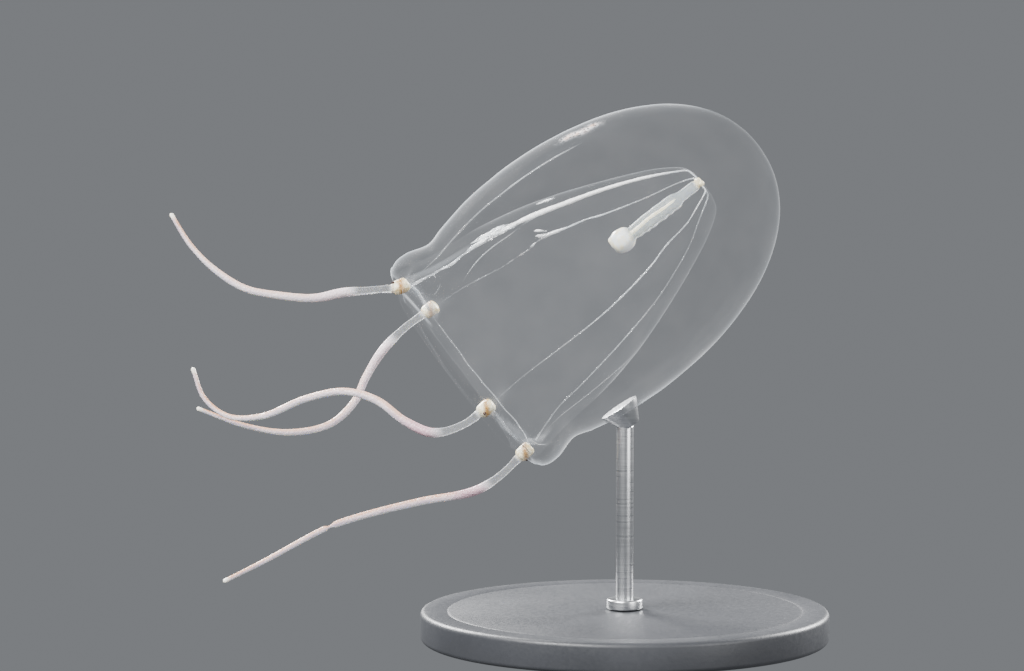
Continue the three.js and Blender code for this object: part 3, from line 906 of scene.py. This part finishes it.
class JELLYFISH_OT_bell(bpy.types.Operator):
    """Spin the bell's two walls, lip and velum as one clear skin and give it its furrows, milk, painted rim
    shine and a painted highlight
    """

    bl_idname = "jellyfish.bell"
    bl_label = "Bell"

    def execute(self, context):
        settings = context.scene.jellyfish_bell
        outline = OUTSIDE_OUTLINE + smooth_outline(VELUM_SHEET, 0.09) + [VELUM_ROOT] + CAVITY_OUTLINE
        bell = turn_outline("bell_skin", outline, settings.steps)
        inner = [is_inside(vertex.co / MM) or is_velum(vertex.co / MM) for vertex in bell.data.vertices]
        self.shape(bell, settings)
        paint(bell, "milk", lambda place, index, _: self.milk(place, inner[index]))
        # Painted highlight: a bright streak painted on the outer wall.
        paint(bell, "painted_glint", lambda place, index, _: 0.0 if inner[index] else self.painted_glint(place))
        # Painted shine: how strongly the rim shows, by flank and height.
        paint(bell, "edge", lambda place, index, _: self.edge(place, inner[index]))
        paint(bell, "inner", lambda place, index, _: 1.0 if inner[index] else 0.0)
        settle(bell)
        walls = numbered("bell_wall") + numbered("bell_margin")
        finish_piece(bell, jelly_material(settings), "clear_jelly", "bell_apex", "velum", *walls)
        return {"FINISHED"}

    def shape(self, bell, settings):
        """Shifts the outside off the cavity's axis, then adds furrows, notches and soft waves."""
        def on_rays(place, width, run):
            return max(hump(arc_from(place, azimuth), width) for azimuth, _ in RAYS) * window(place.z, *run)

        def furrows(place):
            return on_rays(place, FURROW_WIDTH, FURROW_RUN) if is_outside(place) else 0

        def notches(place):
            return on_rays(place, NOTCH_WIDTH, NOTCH_RUN) if radius_of(place) > NOTCH_FROM_RADIUS else 0

        push(bell, BELL_SHIFT, lambda place: 1 if is_outside(place) and place.z > 0.2 else 0, "X")
        push(bell, -settings.furrow_depth / MM, furrows)
        push(bell, NOTCH_DEPTH, notches, "Z")
        push(bell, settings.unevenness / MM, lambda place: window(place.z, *WAVE_RUN), lumps=WAVE_SIZE)

    def milk(self, place, inner):
        """Milky bands lie just past rays 2 and 4, the first one climbing, and a faint web beside canal 1."""
        azimuth, height = azimuth_of(place), place.z
        first, second = (arc_window(azimuth, *band) for band in MILKY_BANDS)
        from_web = arc_from(place, WEB_AZIMUTH)
        if is_velum(place):
            fold = hump(radius_of(place) - read_off(VELUM_FOLD, azimuth), 0.06)
            band = 0.3 * second * hump(radius_of(place) - 4.95, 0.07)
            return 0.09 * fold * arc_window(azimuth, *FOLD_PART) + band
        if not inner:
            on_lip = 0.06 * first * hump(height - 0.02, 0.13)
            return on_lip + 0.008 * hump(from_web, 0.35) * window(height, 0.5, 12, 3)
        climb = min(CLIMB_SLOPE * turn_between(azimuth, CLIMB_FROM), CLIMB_MOST)
        total = 0.3 * first * window(height, -0.15 + climb, 0.32 + climb, 0.14)
        total += 0.35 * first * hump(height + 0.1 - climb, 0.05)
        total += 0.16 * second * window(height, -0.2, 0.5, 0.3)
        web = window(from_web, -0.42 + 0.06 * height, 0.32 - 0.04 * height, 0.18)
        total += 0.06 * web * window(height, *WEB_RUN)
        for ray, _ in RAYS[1:]:
            total += 0.1 * hump(arc_from(place, ray), 0.3) * window(height, 0, 1.2, 1)
        return total

    def edge(self, place, inner):
        """Painted rim shine: clear edges are painted to shine most on the upper flank and least near the
        crown on the lower one.
        """
        if is_velum(place):
            return 0.005
        upper, lower = read_off(UPPER_SHINE, place.z), read_off(LOWER_SHINE, place.z)
        shine = upper + (lower - upper) * (0.5 + 0.5 * place.x / max(radius_of(place), 1e-6))
        if inner:
            return shine * (1 - window(place.z, -2, 5, 1.8) * (1 - MARGIN_SHINE))
        side = abs(turn_between(azimuth_of(place), 0))
        lobes = max(window(side, -20, 42, 20), window(side, 138, 200, 20))
        return shine * (1 - window(place.z, -2, 3, 1.6) * (1 - max(lobes, MARGIN_SHINE)))

    def painted_glint(self, place):
        """A painted highlight: one bright wet streak painted high on the upper flank."""
        wave = 0.12 * math.sin(place.z * 5)
        return hump(arc_from(place, PAINTED_GLINT_AZIMUTH) - wave, 0.3) * window(place.z, *PAINTED_GLINT_RUN)


class JELLYFISH_OT_canals(bpy.types.Operator):
    """Lay the four radial canals on the inner wall, the ring canal round the margin and the fine creases"""

    bl_idname = "jellyfish.canals"
    bl_label = "Canals"

    def execute(self, context):
        settings = context.scene.jellyfish_canals
        material = canal_material(settings)
        for index, (keep, sunk, course) in enumerate(CANALS):
            self.radial_canal(index, keep, sunk, course, material)
        self.ring_canal(settings, material)
        self.creases(material)
        return {"FINISHED"}

    def radial_canal(self, index, keep, sunk, course, material):
        """Each canal starts on the ceiling and runs down the wall. A canal pressed flat is frayed as well."""
        frayed = keep < 1
        knots = [Vector((MANUBRIUM_SHIFT * 0.4, 0, CAVITY_HEIGHT - 0.1))]
        for radius, under_ceiling in CANAL_ROOT:
            knots.append(on_ray(course[0][0], radius, CAVITY_HEIGHT - under_ceiling))
        for azimuth, height, _, _ in course[1:]:
            knots.append(on_ray(azimuth, wall_radius(CAVITY_OUTLINE, height) - sunk, height))
        points, along = smooth_route(knots, 0.07)
        widths = [(height, width) for _, height, width, _ in course]
        solidity = [(height, solid) for _, height, _, solid in course]
        radii = []
        for point, run in zip(points, along):
            bead = 1 + (0.08 if frayed else 0.2) * math.sin(run * 9 + index) * math.sin(run * 3.7)
            radii.append(read_off(widths, point.z) * bead)
        canal = lay_tube(f"radial_canal_skin_{index + 1}", points, radii, half_rings=6)
        nearest = nearest_of(points)
        if frayed:
            push(canal, 0.12, lambda place: window(place.z, *LUMPY_RUN), lumps=0.2)
            out = on_ray(RAYS[index][0], 1, 0)
            for vertex in canal.data.vertices:
                lift = (vertex.co - points[nearest(vertex.co / MM)] * MM).dot(out)
                vertex.co -= out * lift * (1 - keep)
        paint(canal, "body", lambda place, *_: read_off(solidity, points[nearest(place)].z))
        paint(canal, "frayed", lambda place, *_: window(place.z, *TORN_RUN) if frayed else 0.0)
        settle(canal)
        finish_piece(canal, material, "canal", f"radial_canal_{index + 1}")

    def ring_canal(self, settings, material):
        """The ring is stoutest and whitest by the two milky bands, and dips on the far side."""
        points, radii, bodies = [], [], []
        for azimuth in range(360):
            first, second = (arc_window(azimuth, *band) for band in RING_BANDS)
            far = arc_window(azimuth, *RING_FAR_SIDE)
            angle = math.radians(azimuth)
            wave = 0.014 * math.sin(angle * 11) + 0.008 * math.sin(angle * 23)
            drop = 0.25 * arc_window(azimuth, *RING_DIP)
            radius = RING_CANAL_RADIUS + 0.08 + wave - drop * 0.6
            points.append(on_ray(azimuth, radius, RING_CANAL_HEIGHT + wave * 1.5 - drop))
            radii.append(settings.ring_radius / MM * (0.5 + 0.6 * max(first, second)))
            bodies.append(0.01 + max(0.12 * first, 0.5 * second) + 0.14 * far)
        ring = lay_tube("ring_canal_skin", points, radii, half_rings=6, cyclic=True)
        nearest = nearest_of(points)
        paint(ring, "body", lambda place, *_: bodies[nearest(place)])
        settle(ring)
        finish_piece(ring, material, "canal", *numbered("ring_canal"))

    def creases(self, material):
        """Creases thin out at both ends. The small streaks are lumpy and torn, and solid to one end. One
        small streak is a painted highlight.
        """
        lines = []
        for number, (half_width, shown, course) in enumerate(CREASES):
            torn = shown > 1
            places = []
            for azimuth, height, depth in course:
                outer, inner = wall_radius(OUTSIDE_OUTLINE, height), wall_radius(CAVITY_OUTLINE, height)
                places.append(on_ray(azimuth, outer + (inner - outer) * depth - 0.03, height))
            points, along = smooth_route(places, 0.08)
            end = along[-1]
            taper = [(0, 0.25), (end * 0.2, 1), (end * 0.75, 1), (end, 0.2)]
            fade = [(0, 0.2), (end * 0.3, 1), (end * 0.7, 1), (end, 1 if torn else 0.2)]
            radii = [half_width * read_off(taper, run) for run in along]
            line = lay_tube(f"crease_{number}", points, radii, half_rings=4)
            if torn:
                push(line, 0.07, lumps=0.15)
            nearest = nearest_of(points)
            paint(line, "body", lambda place, *_: shown * read_off(fade, along[nearest(place)]))
            paint(line, "frayed", lambda *_: 1.0 if torn else 0.0)
            lines.append(line)
        creases = join("bell_creases", lines)
        settle(creases)
        finish_piece(creases, material, "membrane")


class JELLYFISH_OT_manubrium(bpy.types.Operator):
    """Spin the hanging stalk with its mouth, set the knob on it and draw the gut inside"""

    bl_idname = "jellyfish.manubrium"
    bl_label = "Manubrium"

    def execute(self, context):
        settings = context.scene.jellyfish_manubrium
        stalk = self.stalk()
        skin = join("manubrium_skin", [stalk] + [self.knob_lump(*lump) for lump in KNOB_LUMPS])
        paint(skin, "mouth", lambda place, *_: max(
            window(place.z, 9, 10.45, 0.25), window(place.z, 14.45, 20, 0.2)))
        paint(skin, "knob", lambda place, *_: window(place.z, 14.42, 20, 0.15))
        # Which way a point faces along x: the lower side, which takes a painted highlight.
        paint(skin, "lower side", lambda place, index, normal: normal.x)
        settle(skin)
        hidden = ("manubrium_tube", "manubrium_mouth", "apical_knob")
        finish_piece(skin, manubrium_material(settings), "manubrium", *hidden)
        self.gut(settings)
        return {"FINISHED"}

    def stalk(self):
        """The stalk is scalloped on its lower side as it hangs, and the round mouth carries a nipple."""
        tube, mouth = smooth_outline(MANUBRIUM, 0.07), smooth_outline(MOUTH, 0.05)
        stalk = turn_outline("manubrium_skin", [(0, 14.66)] + tube + mouth + [(0, 9.52)], steps=48)

        def scallops(place):
            side = max(0.0, place.x / max(radius_of(place), 1e-6))
            wave = 0.5 + 0.5 * math.sin(place.z * 13 + math.sin(place.z * 5))
            return side * window(place.z, *SCALLOP_RUN) * wave

        def nipple(place):
            off = (place - MOUTH_CENTRE).normalized() - NIPPLE_WAY
            return hump(off.length, 0.2) if place.z < 10.2 else 0

        push(stalk, 0.035, scallops)
        push(stalk, 0.07, lambda place: window(place.z, *MOUTH_RUN), lumps=0.45)
        push(stalk, 0.06, nipple)
        for vertex in stalk.data.vertices:
            vertex.co.x += MANUBRIUM_SHIFT * MM
        return stalk

    def knob_lump(self, place, radius):
        deselect()
        centre = (Vector((MANUBRIUM_SHIFT, 0, KNOB_HEIGHT)) + Vector(place)) * MM
        bpy.ops.mesh.primitive_ico_sphere_add(subdivisions=4, radius=radius * MM, location=centre)
        place_in_mesh()
        bpy.ops.object.shade_smooth()
        lump = name_piece("knob_lump")
        push(lump, 0.03, lumps=0.15)
        return lump

    def gut(self, settings):
        points, along = smooth_route([(MANUBRIUM_SHIFT + x, y, z) for x, y, z in GUT_ROUTE], 0.06)
        swell = [(0, 0.1), (0.4, 0.8), (along[-1] * 0.6, 1), (along[-1], 1.2)]
        radii = [settings.gut_radius / MM * read_off(swell, run) for run in along]
        gut = lay_tube("manubrium_gut", points, radii, half_rings=5)
        push(gut, 0.04, lumps=0.2)
        settle(gut)
        finish_piece(gut, gut_material(settings), "manubrium")


class JELLYFISH_OT_tentacles(bpy.types.Operator):
    """Draw each tentacle out of its bulb as one skin: bulb, clear stalk, pink swelling and beaded taper"""

    bl_idname = "jellyfish.tentacles"
    bl_label = "Tentacles"

    def execute(self, context):
        settings = context.scene.jellyfish_tentacles
        material = tentacle_material(settings)
        for index, route in enumerate(TENTACLE_ROUTES):
            self.tentacle(index, route, settings, material)
        return {"FINISHED"}

    def tentacle(self, index, route, settings, material):
        azimuth, rise = RAYS[index]
        bulb = on_ray(azimuth, BULB_RING_RADIUS, rise)
        above = on_ray(azimuth, BULB_RING_RADIUS - 0.03, rise + 0.41)
        points, along = smooth_route([above, bulb, *route[1:]], 0.06)
        centre = (bulb - above).length
        clear, pale, beaded = TENTACLE_LOOKS[index]
        stalk_end = centre + clear
        radii = self.radii(index, points, along, centre, stalk_end, settings)
        skin = lay_tube(f"tentacle_skin_{index + 1}", points, radii, half_rings=12)
        nearest = nearest_of(points)
        runs = [along[nearest(vertex.co / MM)] for vertex in skin.data.vertices]
        self.paint_skin(skin, runs, bulb, centre, stalk_end, along[-1], pale, beaded)
        push(skin, 0.08, lambda place: 1.0 if (place - bulb).length < 0.6 else 0.0, lumps=0.25)
        push(skin, 0.01, lambda place: 1.0 if (place - bulb).length > 2.5 else 0.0, lumps=0.12)
        settle(skin)
        lengths = numbered(f"tentacle_{index + 1}_length", TENTACLE_LENGTHS)
        finish_piece(skin, material, "tentacle", f"tentacle_bulb_{index + 1}", *lengths)

    def radii(self, index, points, along, centre, stalk_end, settings):
        """Half thickness in mm along a tentacle: bulb, stalk, swelling, taper and round tip."""
        length = along[-1]
        stalk, swelling, tip = (
            size / MM for size in (settings.stalk_radius, settings.swelling_radius, settings.tip_radius)
        )
        body = [
            (centre + 0.5, stalk * 1.15), (centre + 1.0, stalk), (stalk_end - 0.5, stalk * 1.05),
            (stalk_end + 0.3, swelling * 0.97), (stalk_end + 0.8, swelling),
            (stalk_end + 2.4, swelling * 0.85), (length * 0.62, swelling * 0.74),
            (length * 0.85, swelling * 0.53), (length - 0.4, tip), (length, tip * 1.1),
        ]
        if index == NIPPED_TENTACLE:
            nip = along[nearest_of(points)(Vector(NIP_PLACE))]
            body = [pair for pair in body if abs(pair[0] - nip) > 0.45]
            body += [(nip - 0.3, swelling * 0.68), (nip - 0.02, NIP_RADIUS)]
            body += [(nip + 0.04, NIP_RADIUS), (nip + 0.3, swelling * 0.62)]
        radii = []
        for run in along:
            radius = read_off(body, run)
            across = abs(run - centre) / BULB_HALF_LENGTH
            if across < 1:
                bulb = BULB_HALF_WIDTH * 0.8 * (1 - across**4.5) ** (1 / 3.4)
                radius = max(radius if run > centre else 0, bulb)
            elif run < centre:
                radius = THINNEST
            left = length - run
            if left < tip:
                radius *= math.sqrt(max(0.02, 1 - (1 - left / tip) ** 2))
            radii.append(max(radius, THINNEST))
        return radii

    def paint_skin(self, skin, runs, bulb, centre, stalk_end, length, pale, beaded):
        """Paints where each colour shows, by the run from the root and by the side that looks up, which takes
        painted shading.
        """
        def by_run(pairs):
            return lambda place, index, normal: read_off(pairs, runs[index])

        upright = Matrix.Rotation(math.radians(-LEAN), 3, "Y")
        across, up = upright @ Vector((1, 0, 0)), upright @ Vector((0, 0, 1))

        def crease(place, index, _):
            off = place - bulb
            stripe = hump(off.dot(across) - 0.04 + 0.2 * off.dot(up), 0.15)
            return stripe * window(runs[index], centre - 0.4, centre + 0.38, 0.2)

        swollen, middle = pale
        paint(skin, "bulb", by_run([(centre + 0.25, 1), (centre + 0.62, 0)]))
        paint(skin, "stalk", by_run([(stalk_end - 0.25, 1), (stalk_end + 0.75, 0)]))
        paint(skin, "pink", by_run([
            (stalk_end - 0.6, 0), (stalk_end, 1), (stalk_end + 1.2, 0.9), (stalk_end + 2.6, 0.15),
            (length, 0),
        ]))
        paint(skin, "pale", by_run([
            (stalk_end + 0.2, swollen), (length * 0.4, middle), (length * 0.7, middle), (length, 0),
        ]))
        paint(skin, "beaded", lambda *_: beaded)
        paint(skin, "tip", by_run([(length - 0.45, 0), (length - 0.12, 1)]))
        # Painted shading: which way each point faces, for the peach upper side and the pale lower side.
        paint(skin, "upper", lambda place, index, normal: normal.dot(up))
        paint(skin, "crease", crease)


class JELLYFISH_OT_ocelli(bpy.types.Operator):
    """Set the dark eyespot on the outer side of each bulb"""

    bl_idname = "jellyfish.ocelli"
    bl_label = "Eyespots"

    def execute(self, context):
        material = ocellus_material(context.scene.jellyfish_tentacles)
        out = BULB_RING_RADIUS + BULB_HALF_WIDTH - OCELLUS_RADIUS / 3
        for index, (azimuth, rise) in enumerate(RAYS):
            deselect()
            bpy.ops.mesh.primitive_uv_sphere_add(segments=32, ring_count=20, radius=1.0)
            spot = name_piece(f"ocellus_bead_{index + 1}")
            spot.scale = [OCELLUS_RADIUS * part * MM for part in OCELLUS_SHAPE]
            spot.rotation_euler.z = math.radians(azimuth)
            spot.location = on_ray(azimuth, out, rise - OCELLUS_DROP) * MM
            place_in_mesh()
            bpy.ops.object.shade_smooth()
            push(spot, 0.02, lumps=0.12)
            settle(spot)
            finish_piece(spot, material, "ocellus", f"ocellus_{index + 1}")
        return {"FINISHED"}


class JELLYFISH_OT_stand(bpy.types.Operator):
    """Build the base, the rod with its foot and the steel cradle that carries the bell"""

    bl_idname = "jellyfish.stand"
    bl_label = "Stand"

    def execute(self, context):
        settings = context.scene.jellyfish_stand
        self.base(settings)
        self.rod(settings)
        self.cradle(settings)
        return {"FINISHED"}

    def base(self, settings):
        base = turned_disc("stand_base_disc", BASE_RADIUS, 0, BASE_HEIGHT * MM, sides=160)
        self.sink_ring(base)
        round_edges(base, settings.edge * 0.7, segments=5, over=60)
        finish_piece(base, base_material(settings), "stand_base", "stand_base")

    def sink_ring(self, base):
        """Sinks a fine ring into the top near the edge."""
        bpy.ops.object.mode_set(mode="EDIT")
        bpy.ops.mesh.select_all(action="DESELECT")
        bpy.ops.object.mode_set(mode="OBJECT")
        for face in base.data.polygons:
            face.select = face.normal.z > 0.9
        bpy.ops.object.mode_set(mode="EDIT")
        bpy.ops.mesh.select_mode(type="FACE")
        bpy.ops.mesh.inset(thickness=RING_INSET * MM)
        for depth in (-RING_DEPTH, RING_DEPTH):
            bpy.ops.mesh.inset(thickness=RING_WIDTH / 2 * MM, depth=depth * MM)
        bpy.ops.object.mode_set(mode="OBJECT")

    def rod(self, settings):
        low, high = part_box("stand_rod")
        rod = turned_disc("stand_rod_turned", ROD_RADIUS, low.z, high.z, sides=64)
        foot = turned_disc("rod_foot", FOOT_RADIUS, low.z, low.z + FOOT_HEIGHT * MM, sides=64)
        rod = join("stand_rod_turned", [rod, foot])
        round_edges(rod, 0.1 * MM, segments=4, over=60)
        finish_piece(rod, steel_material(settings), "stand_steel", "stand_rod")

    def cradle(self, settings):
        """A cone tilted to face the bell and cut by the bell's own outside."""
        deselect()
        bpy.ops.mesh.primitive_cone_add(
            vertices=96, radius1=SADDLE_BOTTOM * MM, radius2=SADDLE_TOP * MM, depth=SADDLE_HEIGHT * MM,
        )
        cradle = name_piece("stand_cradle")
        bpy.ops.transform.rotate(value=math.radians(SADDLE_TILT), orient_axis="Y", center_override=(0, 0, 0))
        cradle.location = Vector(SADDLE_PLACE) * MM
        place_in_mesh()
        former = turn_outline("bell_former", FORMER_OUTLINE, steps=192)
        push(former, 0.05)
        settle(former)
        select_only(cradle)
        cut = cradle.modifiers.new("Fit", "BOOLEAN")
        cut.operation = "DIFFERENCE"
        cut.solver = "EXACT"
        cut.object = former
        bpy.ops.object.modifier_apply(modifier=cut.name)
        bpy.data.objects.remove(former)
        round_edges(cradle, 0.05 * MM, segments=3, over=50)
        finish_piece(cradle, steel_material(settings), "stand_steel", "stand_saddle")


class JELLYFISH_OT_stage(bpy.types.Operator):
    """Set up the pale floor, the soft lights and the camera"""

    bl_idname = "jellyfish.stage"
    bl_label = "Stage"

    def execute(self, context):
        settings = context.scene.jellyfish_stage
        self.floor(settings)
        for lamp in LAMPS:
            self.lamp(*lamp)
        world = bpy.data.worlds.new("Soft room")
        world.use_nodes = True
        Wiring(world.node_tree).feed(
            world.node_tree.nodes["Background"], Color=ROOM_COLOUR, Strength=ROOM_STRENGTH,
        )
        context.scene.world = world
        context.scene.camera = self.camera(settings)
        return {"FINISHED"}

    def floor(self, settings):
        """A flat round floor that curves up into a wall."""
        flat = settings.floor_radius / MM
        outline = [(0, 0), (30, 0), (120, 0), (flat, 0)]
        for degrees in range(6, 90, 6):
            angle = math.radians(degrees)
            outline.append((flat + SWEEP * math.sin(angle), SWEEP * (1 - math.cos(angle))))
        outline += [(flat + SWEEP, SWEEP), (flat + SWEEP, WALL_TOP)]
        floor = turn_outline("floor", outline, steps=96)
        select_only(floor)
        bpy.ops.object.mode_set(mode="EDIT")
        bpy.ops.mesh.select_all(action="SELECT")
        bpy.ops.mesh.normals_make_consistent(inside=True)
        bpy.ops.object.mode_set(mode="OBJECT")
        floor.data.materials.append(backdrop_material(settings))

    def lamp(self, name, place, size, power):
        deselect()
        bpy.ops.object.light_add(type="AREA", location=place)
        lamp = bpy.context.object
        lamp.name = name
        lamp.data.size = size
        lamp.data.energy = power
        lamp.data.spread = math.radians(LAMP_SPREAD)
        lamp.rotation_euler = facing(Vector(LAMP_AIM) * MM - Vector(place))

    def camera(self, settings):
        back = Vector((0, -math.cos(settings.elevation), math.sin(settings.elevation)))
        deselect()
        bpy.ops.object.camera_add(location=Vector(VIEW_MIDDLE) * MM + back * settings.distance)
        camera = bpy.context.object
        camera.name = "View"
        camera.rotation_euler = facing(-back)
        camera.data.lens = settings.lens
        camera.data.sensor_width = SENSOR_WIDTH
        camera.data.clip_start = CLIP_NEAR
        camera.data.clip_end = CLIP_FAR
        return camera


class JELLYFISH_PT_panel(bpy.types.Panel):
    """Lists the steps that build the model, each with its sizes and colours"""

    bl_idname = "JELLYFISH_PT_panel"
    bl_label = "Jellyfish"
    bl_space_type = "VIEW_3D"
    bl_region_type = "UI"
    bl_category = "Jellyfish"

    def draw(self, context):
        for operator, group in STEPS:
            box = self.layout.box()
            box.operator(operator.bl_idname)
            settings = getattr(context.scene, group, None)
            for name in getattr(type(settings), "__annotations__", ()):
                box.prop(settings, name)


SETTINGS = {
    "jellyfish_bell": BellSettings,
    "jellyfish_canals": CanalSettings,
    "jellyfish_manubrium": ManubriumSettings,
    "jellyfish_tentacles": TentacleSettings,
    "jellyfish_stand": StandSettings,
    "jellyfish_stage": StageSettings,
}
STEPS = [
    (JELLYFISH_OT_bell, "jellyfish_bell"),
    (JELLYFISH_OT_canals, "jellyfish_canals"),
    (JELLYFISH_OT_manubrium, "jellyfish_manubrium"),
    (JELLYFISH_OT_tentacles, "jellyfish_tentacles"),
    (JELLYFISH_OT_ocelli, "jellyfish_tentacles"),
    (JELLYFISH_OT_stand, "jellyfish_stand"),
    (JELLYFISH_OT_stage, "jellyfish_stage"),
]
CLASSES = [*SETTINGS.values(), *(operator for operator, _ in STEPS), JELLYFISH_PT_panel]


def register():
    for each in CLASSES:
        bpy.utils.register_class(each)
    for name, group in SETTINGS.items():
        setattr(bpy.types.Scene, name, PointerProperty(type=group))


def unregister():
    for name in SETTINGS:
        delattr(bpy.types.Scene, name)
    for each in reversed(CLASSES):
        bpy.utils.unregister_class(each)


def main():
    register()
    bpy.ops.jellyfish.bell()
    bpy.ops.jellyfish.canals()
    bpy.ops.jellyfish.manubrium()
    bpy.ops.jellyfish.tentacles()
    bpy.ops.jellyfish.ocelli()
    bpy.ops.jellyfish.stand()
    bpy.ops.jellyfish.stage()


if __name__ == "__main__":
    main()
